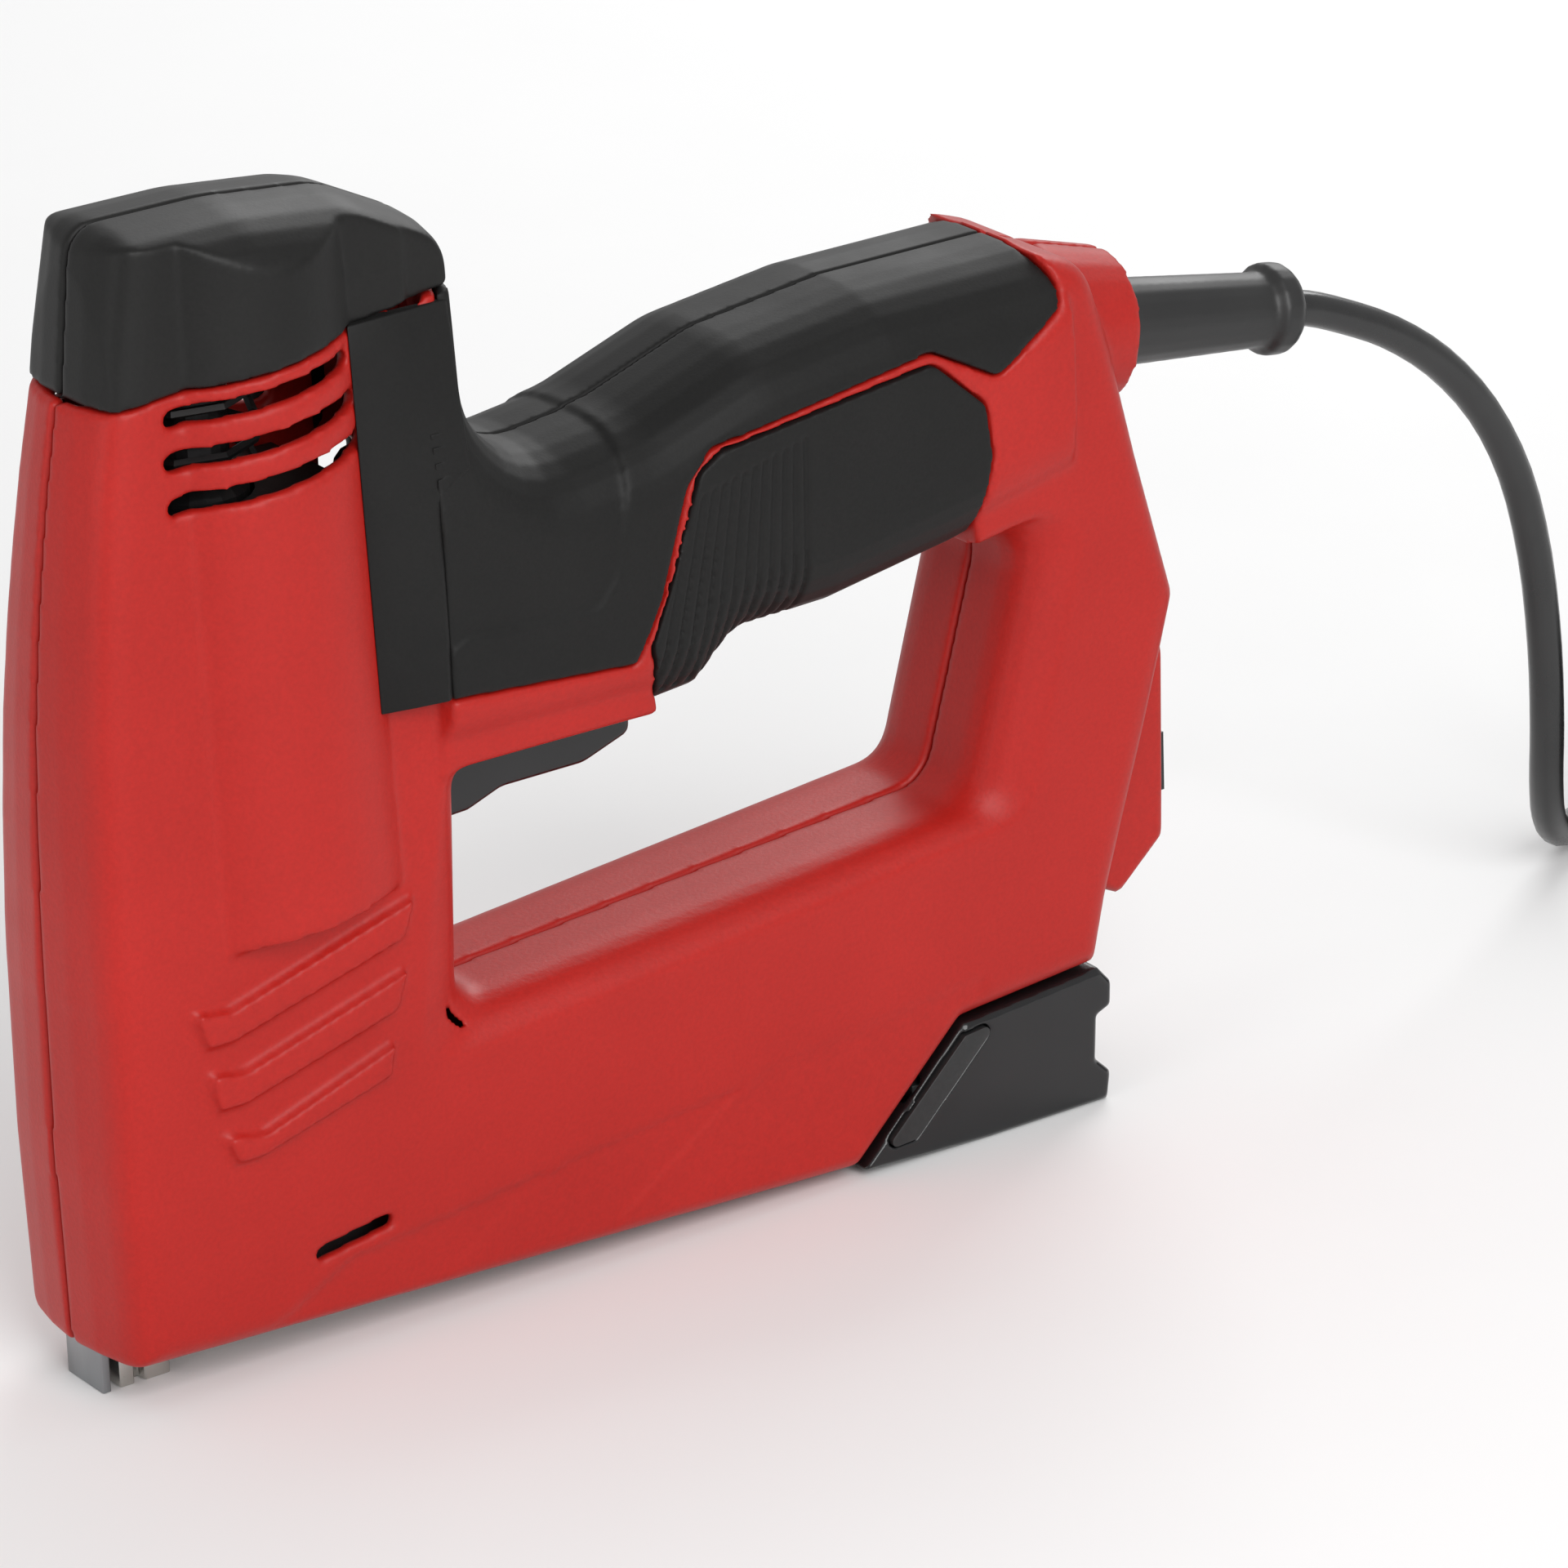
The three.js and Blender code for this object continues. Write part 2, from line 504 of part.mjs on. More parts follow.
for (const [side, sign] of [['left', -1], ['right', 1]]) {
  const paddle = plate(buttonOutline, 14.6, BLOCK_HALF + 0.4)
    .add(box([153.6, 9.4, 9], [159.4, 14.8, 13]));
  addSolid(`${side}_release_button`, sign < 0 ? paddle.mirror([0, 1, 0]) : paddle, HARD_BLACK);
}
add('release_spring', spring(2, 0.35, 18, 6).translate(0, 0, -9).rotateX(Math.PI / 2)
  .translate(155.3, 0, 11), SPRING_STEEL);

const pusher = box([14.6, -3.9, 6], [26, 3.9, 15]).add(box([14.6, -6.9, 15.8], [26, 6.9, 17]))
  .add(box([14.6, -3.9, 14.8], [26, 3.9, 16]))
  .add(box([14.6, -6.9, 8], [26, -5.8, 16])).add(box([14.6, 5.8, 8], [26, 6.9, 16]))
  .subtract(toSolid(alongX(rod(1.9, 0, 40, 12)).translate(10, 0, 10)));
addSolid('pusher', pusher, STEEL);
add('guide_rod', alongX(rod(1.4, 0, 127, 10)).translate(15.5, 0, 10), STEEL);
add('pusher_spring', alongX(spring(2.4, 0.35, 114, 16)).translate(26.8, 0, 10), SPRING_STEEL);

// ---- solenoid, plunger and driver blade ----
const yokeOuter = box([COIL_X - 21, -10.8, 86], [COIL_X + 21, 10.8, 145.5]);
const yoke = yokeOuter.subtract(box([COIL_X - 19.2, -15, 88.6], [COIL_X + 19.2, 15, 142.9]))
  .subtract(toSolid(rod(9.6, 80, 150, 20).translate(COIL_X, 0, 0)));
addSolid('solenoid_yoke', yoke, STEEL);
add('coil_bobbin', turned([
  [9.6, 89], [14.6, 89], [14.6, 91], [11, 91], [11, 140.6], [14.6, 140.6], [14.6, 142.6], [9.6, 142.6],
  [9.6, 89],
], 24).translate(COIL_X, 0, 0), NYLON);
add('coil_winding', ring(11.3, 14.2, 91.3, 140.3, 24).translate(COIL_X, 0, 0), COPPER);
const plunger = toSolid(turned([
  [0, 72], [8.8, 72], [8.8, 146], [6, 149], [6, 166], [11.5, 166], [11.5, 168.4], [0, 168.4],
], 20).translate(COIL_X, 0, 0));
addSolid('plunger', plunger, STEEL);
add('return_spring', spring(10.4, 0.8, 18.4, 4.5).translate(COIL_X, 0, 146.7), SPRING_STEEL);
const blade = box([BLADE_X - 0.55, -STAPLE_HALF + 0.2, 18], [BLADE_X + 0.55, STAPLE_HALF - 0.2, 71.6])
  .add(box([BLADE_X - 0.55, -7, 69.4], [COIL_X + 9, 7, 71.6]));
addSolid('driver_blade', blade, STEEL);
add('stop_bumper', turned([[3, 44], [12, 44], [12, 51.6], [3, 51.6], [3, 44]], 20)
  .translate(COIL_X, 0, 0), RUBBER);

// ---- trigger and its switch ----
const triggerOutline = outline([
  [67, 81.5, 1.5], [73.5, 81.8, 3], [80, 84.2, 6], [96, 84.2, 8], [105.3, 87.4, 2], [105.2, 95.8, 1],
  [99.6, 96.4], [99.6, 101.6, 1], [69, 101.6, 1], [67, 92],
]);
addSolid('trigger', pillow(triggerOutline, 7, 0.8, 1).subtract(pinHole), HARD_BLACK);
add('trigger_pin', alongY(rod(1.7, -12, 12, 10)).translate(...TRIGGER_PIN), STEEL);
add('trigger_spring', spring(2.4, 0.35, 7.6, 4).translate(97, 0, 102.3), SPRING_STEEL);

const switchBody = box([76, -5, 105.2], [94, 5, 118]).add(box([93, -5, 110.7], [101, 5, 118]))
  .subtract(box([81.4, -2.4, 104], [85.6, 2.4, 109]));
addSolid('trigger_switch', switchBody, HARD_BLACK);
add('switch_button', boxGeometry([82, -2, 102.1], [85, 2, 107.4]), RED);

// ---- electronics in the handle ----
add('circuit_board', boxGeometry([104, -0.8, 116], [164, 0.8, 136]), BOARD);
add('capacitor', alongX(rod(5.5, 0, 24, 20)).translate(112, 7, 126), finish(0x3a4a7a, 0.4));
const triac = box([142, 1.1, 119], [152, 5.4, 129]).add(box([142, 1.1, 128], [152, 2.4, 134]));
addSolid('power_transistor', triac, HARD_BLACK);

// ---- mains rocker switch at the rear ----
const bezel = box([212.5, -7.6, 49.2], [213.7, 7.6, 59.8]).add(box([200, -6.7, 50.6], [213, 6.7, 58.4]))
  .subtract(box([205.6, -6, 51.3], [216, 6, 57.7]));
addSolid('rocker_bezel', bezel, HARD_BLACK);
const rockerShape = [[-3.4, 0], [-1, -5.3], [3.2, -5.3], [1.9, 0], [3.2, 5.3], [-1, 5.3]]
  .map(([x, y]) => new THREE.Vector2(x, y).rotateAround(new THREE.Vector2(), ROCKER_TILT));
add('rocker', slabGeometry(rockerShape, 51.7, 57.3).translate(210.4, 0, 0), HARD_BLACK);

// ---- cord exit: clamp, inner lead and bend-protection sleeve ----
const atExit = (geometry) => alongX(geometry).rotateY(SLEEVE_TILT).translate(...EXIT_AXIS);
add('inner_lead', atExit(rod(CORD_R, -27, -11, 12)), RUBBER);
add('cord_clamp', boxGeometry([183, -12, 139.8], [188.5, 12, 142.4]), NYLON);
for (const [i, y] of [-8.5, 8.5].entries()) {
  const clampScrew = turned([[0, 142.7], [3, 142.7], [3, 144], [2, 144.8], [0, 144.8]], 10);
  add(`cord_clamp_screw_${i + 1}`, clampScrew.translate(185.8, y, 0), STEEL);
}
add('cord_sleeve', atExit(turned([
  [0, -10.4], [9.6, -10.4], [9.6, -7.9], [7.7, -7.7], [7.7, 4], [6.5, 38], [8, 39.4], [8, 42.4],
  [7, 43.9], [0, 43.9],
], 20)), RUBBER);

// ---- mains cord: free stretch, stored hank with its tie, tail and plug ----
const through = (points) => new THREE.CatmullRomCurve3(
  points.map((point) => new THREE.Vector3(...point)), false, 'centripetal',
);
const cordRoute = [
  [246.8, 0, 126.9], [252.2, 0, 125.6], [259.4, 0, 122.7], [270, 0, 117.4], [281, 0, 109.4],
  [291, 0, 98.3], [298.4, 0, 84.6], [303, 0, 68.2], [305.6, 0.3, 50], [307.2, 1.5, 34],
  [309.6, 4.5, 22], [314, 9, 12.5], [321, 14.5, 6.2], [329, 19.2, 3.8], [335, 22.2, 3.5],
];
add('cord', tube(through(cordRoute), CORD_R, 10, 34), RUBBER);

// An outline round both folds, in plan.
function foldsOutline(reach, steps) {
  const half = Array.from({ length: steps + 1 }, (_, i) => (Math.PI * i) / steps - Math.PI / 2);
  const at = (x, turn) => new THREE.Vector2(x + reach * Math.cos(turn), reach * Math.sin(turn));
  return [
    ...half.map((turn) => at(HANK_ENDS[1], turn)), ...half.map((turn) => at(HANK_ENDS[0], turn + Math.PI)),
  ];
}
const hank = toSolid(slabGeometry(foldsOutline(HANK_REACH, 12), HANK_FOOT, HANK_FOOT + 8 * CORD_R))
  .subtract(toSolid(slabGeometry(foldsOutline(HANK_CORE, 10), 0, 40)));
addSolid('cord_hank', hank, RUBBER);

const tieHalf = HANK_REACH + GAP;
const tieTop = HANK_FOOT + 8 * CORD_R + GAP;
const tie = box([374, -tieHalf - 0.8, 0], [386, tieHalf + 0.8, tieTop + 0.8])
  .subtract(box([370, -tieHalf, 0.8], [390, tieHalf, tieTop]));
addSolid('cord_tie', tie, SOFT_BLACK);

const tailRoute = [
  [423, 23.6, 17.1], [430, 21.3, 14.2], [437, 19, 11.4], [444, 17, 9], [451, 15.8, 7.5], [457.3, 15.5, 7],
];
add('cord_tail', tube(through(tailRoute), CORD_R, 10, 6), RUBBER);

const plugOutline = [
  [0, -5], [9, -9], [15, -17.2], [31, -17.2], [33, -15], [33, 15], [31, 17.2], [15, 17.2], [9, 9], [0, 5],
].map(([x, y]) => new THREE.Vector2(x + PLUG_START[0], y + PLUG_START[1]));
add('plug_body', slabGeometry(plugOutline, 0, 2 * PLUG_Z), RUBBER);
for (const [i, y] of [-9.5, 9.5].entries()) {
  const pin = alongX(rod(2, 0, 18, 12));
  add(`plug_pin_${i + 1}`, pin.translate(PLUG_START[0] + 33 + GAP, PLUG_START[1] + y, PLUG_Z), STEEL);
}

export default group;
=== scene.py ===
import json
import math

import bmesh
import bpy
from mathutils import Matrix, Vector


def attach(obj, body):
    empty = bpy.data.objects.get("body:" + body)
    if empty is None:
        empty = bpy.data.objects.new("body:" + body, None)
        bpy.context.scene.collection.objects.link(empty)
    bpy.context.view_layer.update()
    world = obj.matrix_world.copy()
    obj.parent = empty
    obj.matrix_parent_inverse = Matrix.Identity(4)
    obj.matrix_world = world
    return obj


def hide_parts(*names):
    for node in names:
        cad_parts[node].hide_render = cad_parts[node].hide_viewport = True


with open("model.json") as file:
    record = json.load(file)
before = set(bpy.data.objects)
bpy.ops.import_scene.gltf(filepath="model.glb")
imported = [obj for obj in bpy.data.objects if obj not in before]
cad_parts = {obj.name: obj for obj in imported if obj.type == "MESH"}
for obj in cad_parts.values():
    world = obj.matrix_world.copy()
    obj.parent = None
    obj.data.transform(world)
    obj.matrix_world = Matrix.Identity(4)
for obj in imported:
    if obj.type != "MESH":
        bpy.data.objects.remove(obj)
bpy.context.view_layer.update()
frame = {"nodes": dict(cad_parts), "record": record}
mm = 0.001

# ---- Camera ----
# A long lens stands to the left of the nose, a little above the tool, and leans a little with it.
# It looks over the left side towards the rear.
swing, drop, lean = math.radians(34.60), math.radians(22.07), math.radians(2.05)
ahead = Vector((math.sin(swing) * math.cos(drop), math.cos(swing) * math.cos(drop), -math.sin(drop)))
level = Vector((math.cos(swing), -math.sin(swing), 0))
over = level.cross(ahead)
across = level * math.cos(lean) - over * math.sin(lean)
upward = level * math.sin(lean) + over * math.cos(lean)
camera_data = bpy.data.cameras.new("camera")
camera_data.lens = 187.5
camera_data.sensor_width = 36
camera_data.clip_end = 20
camera = bpy.data.objects.new("camera", camera_data)
bpy.context.scene.collection.objects.link(camera)
turn = camera.matrix_world.to_3x3()
for column, axis in enumerate((across, upward, -ahead)):
    for row in range(3):
        turn[row][column] = axis[row]
camera.matrix_world = turn.to_4x4()
camera_place = Vector((-576.47, -1038.27, 578.53))
camera.location = camera_place * mm
bpy.context.scene.camera = camera

# ---- Shared surface effects ----
# Moulded plastic carries the fine spark-eroded texture of its tool, rubbed smoother in places by
# handling. Each material takes these two effects with its own scale and strength.


def effect(name, inputs, outputs):
    """An empty node group with its sockets, and its input and output nodes."""
    group = bpy.data.node_groups.new(name, "ShaderNodeTree")
    for label, kind, value in inputs:
        socket = group.interface.new_socket(label, in_out="INPUT", socket_type=kind)
        socket.default_value = value
    for label, kind in outputs:
        group.interface.new_socket(label, in_out="OUTPUT", socket_type=kind)
    return group, group.nodes.new("NodeGroupInput"), group.nodes.new("NodeGroupOutput")


def node(tree, kind, links=None, **settings):
    """A new node, with its settings, then its inputs as values or as links from other sockets."""
    made = tree.nodes.new(kind)
    for key, value in settings.items():
        setattr(made, key, value)
    for socket, source in (links or {}).items():
        if isinstance(source, bpy.types.NodeSocket):
            tree.links.new(source, made.inputs[socket])
        else:
            made.inputs[socket].default_value = source
    return made


grain, grain_in, grain_out = effect(
    "moulded_grain",
    [("Position", "NodeSocketVector", (0, 0, 0)), ("Grain scale", "NodeSocketFloat", 1500.0),
     ("Grain depth", "NodeSocketFloat", 0.00003), ("Wear scale", "NodeSocketFloat", 40.0)],
    [("Normal", "NodeSocketVector"), ("Wear", "NodeSocketFloat"), ("Speckle", "NodeSocketFloat")],
)
spark = node(grain, "ShaderNodeTexNoise", {
    "Vector": grain_in.outputs["Position"], "Scale": grain_in.outputs["Grain scale"],
    "Detail": 3.0, "Roughness": 0.6})
relief = node(grain, "ShaderNodeBump", {
    "Strength": 1.0, "Distance": grain_in.outputs["Grain depth"], "Height": spark.outputs["Fac"]})
rub = node(grain, "ShaderNodeTexNoise", {
    "Vector": grain_in.outputs["Position"], "Scale": grain_in.outputs["Wear scale"],
    "Detail": 5.0, "Roughness": 0.62})
grain.links.new(relief.outputs["Normal"], grain_out.inputs["Normal"])
grain.links.new(rub.outputs["Fac"], grain_out.inputs["Wear"])
grain.links.new(spark.outputs["Fac"], grain_out.inputs["Speckle"])


def finish(name, colour, tint, rough, grain_scale, grain_depth, wear_scale, metallic=0.0, speckle=0.0,
           sheen=0.0, specular=0.5, stretch=(1, 1, 1)):
    """A surface whose colour runs from colour to tint with wear, and whose roughness spans rough.
    Speckle is how far the fine grain lightens and darkens it, and stretch draws its pattern out."""
    material = bpy.data.materials.new(name)
    material.use_nodes = True
    tree = material.node_tree
    shader = tree.nodes["Principled BSDF"]
    shader.inputs["Metallic"].default_value = metallic
    shader.inputs["Sheen Weight"].default_value = sheen
    shader.inputs["Sheen Roughness"].default_value = 0.45
    shader.inputs["Specular IOR Level"].default_value = specular
    place = node(tree, "ShaderNodeTexCoord")
    centred = node(tree, "ShaderNodeMapping", {
        "Vector": place.outputs["Object"], "Scale": stretch})
    surface = node(tree, "ShaderNodeGroup", node_tree=grain)
    tree.links.new(centred.outputs["Vector"], surface.inputs["Position"])
    surface.inputs["Grain scale"].default_value = grain_scale
    surface.inputs["Grain depth"].default_value = grain_depth
    surface.inputs["Wear scale"].default_value = wear_scale
    worn = node(tree, "ShaderNodeMapRange", {
        "Value": surface.outputs["Wear"], "From Min": 0.32, "From Max": 0.68})
    tone = node(tree, "ShaderNodeMix", {"Factor": worn.outputs["Result"]}, data_type="RGBA")
    tone.inputs["A"].default_value = (*colour, 1)
    tone.inputs["B"].default_value = (*tint, 1)
    fleck = node(tree, "ShaderNodeMapRange", {
        "Value": surface.outputs["Speckle"], "From Min": 0.3, "From Max": 0.7,
        "To Min": 1 - speckle, "To Max": 1 + speckle})
    shade = node(tree, "ShaderNodeVectorMath", {
        0: tone.outputs["Result"], "Scale": fleck.outputs["Result"]}, operation="SCALE")
    tree.links.new(shade.outputs["Vector"], shader.inputs["Base Color"])
    gloss = node(tree, "ShaderNodeMapRange", {
        "Value": surface.outputs["Wear"], "From Min": 0.3, "From Max": 0.7,
        "To Min": rough[0], "To Max": rough[1]})
    tree.links.new(gloss.outputs["Result"], shader.inputs["Roughness"])
    tree.links.new(surface.outputs["Normal"], shader.inputs["Normal"])
    return material


def dress(piece, material):
    """Give a piece one material over its whole surface."""
    piece.data.materials.clear()
    piece.data.materials.append(material)


# ---- Mains cord ----
# Round two-core rubber-insulated lead, 6.2 mm thick, semi-gloss black, about 1.8 m long.
# It leaves the sleeve, droops to the surface behind the tool, and the rest is a tied hank.
cord_radius = 3.1
route = [
    (246.8, 0, 126.9), (252.2, 0, 125.6), (259.4, 0, 122.7), (270, 0, 117.4), (281, 0, 109.4),
    (291, 0, 98.3), (298.4, 0, 84.6), (303, 0, 68.2), (305.6, 0.3, 50), (307.2, 1.5, 34),
    (309.6, 4.5, 22), (314, 9, 12.5), (321, 14.5, 6.2), (329, 19.2, 3.8), (335, 22.2, 3.5),
    (341, 24.9, 3.6), (349, 27.7, 3.8), (357, 29.4, 4.1), (365, 30, 4.2),
]
tail = [
    (395, 25.5, 22.8), (404, 25.4, 22.8), (413, 25, 22.2), (418, 24.4, 20.2), (423, 23.6, 17.3),
    (430, 21.3, 14.2), (437, 19, 11.4), (444, 17, 9), (451, 15.8, 7.5), (457.6, 15.5, 7),
]
# The hank is wound round two folds in four layers. Each row holds the turns made so far, with the
# distance from a fold's centre and the height of the run there.
fold_x = (365, 395)
winding = [
    (0, 30, 4.2), (1.84, 18.6, 4.2), (2, 18.6, 10.4), (3.84, 30, 10.4), (4, 30, 16.6),
    (5.84, 18.6, 16.6), (6, 18.6, 22.8), (7.12, 25.5, 22.8),
]


def smooth_run(points, per_span):
    """Points along a centripetal curve through the given ones."""
    made = []
    ends = [2 * points[0] - points[1], *points, 2 * points[-1] - points[-2]]
    for i in range(1, len(ends) - 2):
        p0, p1, p2, p3 = ends[i - 1:i + 3]
        t0 = 0.0
        t1 = t0 + (p1 - p0).length ** 0.5
        t2 = t1 + (p2 - p1).length ** 0.5
        t3 = t2 + (p3 - p2).length ** 0.5
        for k in range(per_span):
            t = t1 + (t2 - t1) * k / per_span
            a1 = p0 * ((t1 - t) / (t1 - t0)) + p1 * ((t - t0) / (t1 - t0))
            a2 = p1 * ((t2 - t) / (t2 - t1)) + p2 * ((t - t1) / (t2 - t1))
            a3 = p2 * ((t3 - t) / (t3 - t2)) + p3 * ((t - t2) / (t3 - t2))
            b1 = a1 * ((t2 - t) / (t2 - t0)) + a2 * ((t - t0) / (t2 - t0))
            b2 = a2 * ((t3 - t) / (t3 - t1)) + a3 * ((t - t1) / (t3 - t1))
            made.append(b1 * ((t2 - t) / (t2 - t1)) + b2 * ((t - t1) / (t2 - t1)))
    made.append(points[-1])
    return made


def ease(share):
    """A share from 0 to 1 that starts and ends gently."""
    return share * share * (3 - 2 * share)


def wound(turns):
    """The place on the hank after some turns, clockwise from the first fold's centre line."""
    for (t0, r0, z0), (t1, r1, z1) in zip(winding, winding[1:]):
        if turns <= t1:
            break
    share = (turns - t0) / (t1 - t0)
    reach = r0 + (r1 - r0) * share
    height = z0 + (z1 - z0) * ease(share)
    straight = fold_x[1] - fold_x[0]
    arc = math.pi * reach
    run = (turns % 1) * 2 * (straight + arc)
    if run < straight:
        return Vector((fold_x[0] + run, reach, height))
    if run < straight + arc:
        angle = math.pi / 2 - (run - straight) / reach
        return Vector((fold_x[1] + reach * math.cos(angle), reach * math.sin(angle), height))
    if run < 2 * straight + arc:
        return Vector((fold_x[1] - (run - straight - arc), -reach, height))
    angle = -math.pi / 2 - (run - 2 * straight - arc) / reach
    return Vector((fold_x[0] + reach * math.cos(angle), reach * math.sin(angle), height))


points_per_span = 3
steps_per_turn = 72
turns_in_hank = winding[-1][0]
line = smooth_run([Vector(p) for p in route], points_per_span)
line += [wound(k / steps_per_turn) for k in range(1, round(turns_in_hank * steps_per_turn))]
line += smooth_run([Vector(p) for p in tail], points_per_span)
cord_curve = bpy.data.curves.new("mains_cord", "CURVE")
cord_curve.dimensions = "3D"
cord_curve.bevel_depth = cord_radius * mm
cord_curve.bevel_resolution = 5
cord_curve.use_fill_caps = True
spline = cord_curve.splines.new("POLY")
spline.points.add(len(line) - 1)
for point, place in zip(spline.points, line):
    point.co = (*(place * mm), 1)
spline.use_smooth = True
cord = bpy.data.objects.new("mains_cord", cord_curve)
bpy.context.scene.collection.objects.link(cord)
jacket = finish("cord_jacket", (0.010, 0.010, 0.0105), (0.016, 0.016, 0.016), (0.22, 0.34),
                1200, 0.000006, 60, specular=0.55)
cord.data.materials.append(jacket)
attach(cord, "housing")
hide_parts("cord", "cord_hank", "cord_tail")


# ---- Housing halves ----
# Two red ABS mouldings, 2.5 mm thick, that meet on the middle plane and are held by eight screws.
# Every outer edge has the small round of its mould, and the surface has a fine spark texture.


weld = 0.002


def cad_copy(source):
    """A merged copy of a CAD node's mesh, as a bmesh."""
    made = bmesh.new()
    made.from_mesh(frame["nodes"][source].data)
    bmesh.ops.remove_doubles(made, verts=made.verts, dist=weld * mm)
    return made


def moulded(source, body, material, voxel=0.7, rounds=6, pull=0.5, keep=1.0):
    """A copy of a CAD moulding whose edges are rounded like a real mould's.
    More rounds of smoothing give wider rounds, and keep is the share of its faces that stay."""
    stock = cad_copy(source)
    mesh = bpy.data.meshes.new(source + "_moulding")
    stock.to_mesh(mesh)
    stock.free()
    piece = bpy.data.objects.new(source + "_moulding", mesh)
    bpy.context.scene.collection.objects.link(piece)
    remesh = piece.modifiers.new("skin", "REMESH")
    remesh.mode = "VOXEL"
    remesh.voxel_size = voxel * mm
    soften = piece.modifiers.new("mould_round", "SMOOTH")
    soften.factor = pull
    soften.iterations = rounds
    if keep < 1:
        thin = piece.modifiers.new("thin", "DECIMATE")
        thin.ratio = keep
    bpy.context.view_layer.update()
    ready = bpy.data.meshes.new_from_object(
        piece.evaluated_get(bpy.context.evaluated_depsgraph_get()))
    piece.modifiers.clear()
    piece.data = ready
    piece.data.polygons.foreach_set("use_smooth", [True] * len(piece.data.polygons))
    dress(piece, material)
    print(source, len(piece.data.polygons), "faces")
    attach(piece, body)
    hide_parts(source)
    return piece


red_abs = finish("red_abs", (0.41, 0.012, 0.008), (0.36, 0.0095, 0.006), (0.40, 0.48),
                 1300, 0.00004, 18, speckle=0.08, specular=0.30)
for side in ("left", "right"):
    moulded(side + "_housing", "housing", red_abs, voxel=0.75, rounds=5, keep=0.7)

# ---- Cap halves ----
# Black soft-touch mouldings that close the top of the solenoid barrel and meet on the middle plane.
soft_touch = finish("soft_touch", (0.0065, 0.0063, 0.006), (0.010, 0.0096, 0.0092), (0.42, 0.54),
                    1500, 0.00002, 22, speckle=0.14, sheen=0.02, specular=0.24)
for side in ("left", "right"):
    moulded(side + "_cap", "housing", soft_touch, voxel=0.6, rounds=8)

# ---- Grip pads ----
# Thermoplastic rubber moulded over the handle: a smooth upper pad with a sunk panel,
# and a lower pad with finger grooves. A thin red band of the housing shows between them.
grip_rubber = finish("grip_rubber", (0.005, 0.0049, 0.0047), (0.0085, 0.0082, 0.0079), (0.46, 0.60),
                     1700, 0.000022, 30, speckle=0.16, sheen=0.02, specular=0.22)
for side in ("left", "right"):
    moulded(side + "_upper_grip", "housing", grip_rubber, voxel=0.5, rounds=7)
    moulded(side + "_lower_grip", "housing", grip_rubber, voxel=0.4, rounds=3, keep=0.8)


# ---- Pad lips ----
# Thin front flange of each upper pad, moulded in the same rubber. It lies in the corner between
# the solenoid barrel and the handle, and closes the joint there.
# Height of each row, with how far back it reaches and its depth at the barrel, at the pad and behind.
lip_rows = [
    (108.0, 62.9, 18.8, 20.9, 15.4), (118, 62.9, 18.3, 21.0, 14.9), (130, 62.9, 17.6, 20.6, 14.2),
    (141, 63.4, 16.9, 19.6, 13.6), (145, 69.6, 16.7, 19.2, 13.3), (155, 69.6, 16.1, 17.1, 12.9),
    (165, 70.0, 15.5, 15.0, 12.4), (171.6, 69.8, 15.0, 14.2, 12.1),
]
lip_front, lip_middle, lip_inner_front = 50.4, 56.5, 52.4
lip_edge_round = 0.35
for side, sign in (("left", -1), ("right", 1)):
    lip_stock = bmesh.new()
    rings = []
    for height, reach, at_barrel, at_pad, behind in lip_rows:
        crown = (at_barrel + at_pad) / 2 + 0.2
        corners = [(lip_front, at_barrel), (lip_middle, crown), (reach - 1, at_pad), (reach, at_pad - 0.5),
                   (reach - 0.8, at_pad - 1.6), (lip_middle, behind), (lip_inner_front, behind)]
        rings.append([lip_stock.verts.new((x * mm, sign * y * mm, height * mm)) for x, y in corners])
    for low, high in zip(rings, rings[1:]):
        for i in range(len(low)):
            j = (i + 1) % len(low)
            lip_stock.faces.new((low[i], low[j], high[j], high[i]))
    lip_stock.faces.new(rings[0])
    lip_stock.faces.new(rings[-1])
    bmesh.ops.recalc_face_normals(lip_stock, faces=lip_stock.faces)
    bmesh.ops.bevel(lip_stock, geom=[edge for edge in lip_stock.edges if edge.calc_face_angle(0) > 0.5],
                    offset=lip_edge_round * mm, offset_type="OFFSET", segments=2, profile=0.5, affect="EDGES",
                    clamp_overlap=True, material=-1)
    lip_mesh = bpy.data.meshes.new(side + "_pad_lip")
    lip_stock.to_mesh(lip_mesh)
    lip_stock.free()
    lip_mesh.polygons.foreach_set("use_smooth", [True] * len(lip_mesh.polygons))
    lip_mesh.set_sharp_from_angle(angle=math.radians(50))
    lip = bpy.data.objects.new(side + "_pad_lip", lip_mesh)
    bpy.context.scene.collection.objects.link(lip)
    dress(lip, grip_rubber)
    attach(lip, "housing")

# ---- Small mouldings and pressings ----
# The crisp pieces keep their flat faces and get a small rounded edge, as a deburred pressing
# or a small moulding has.


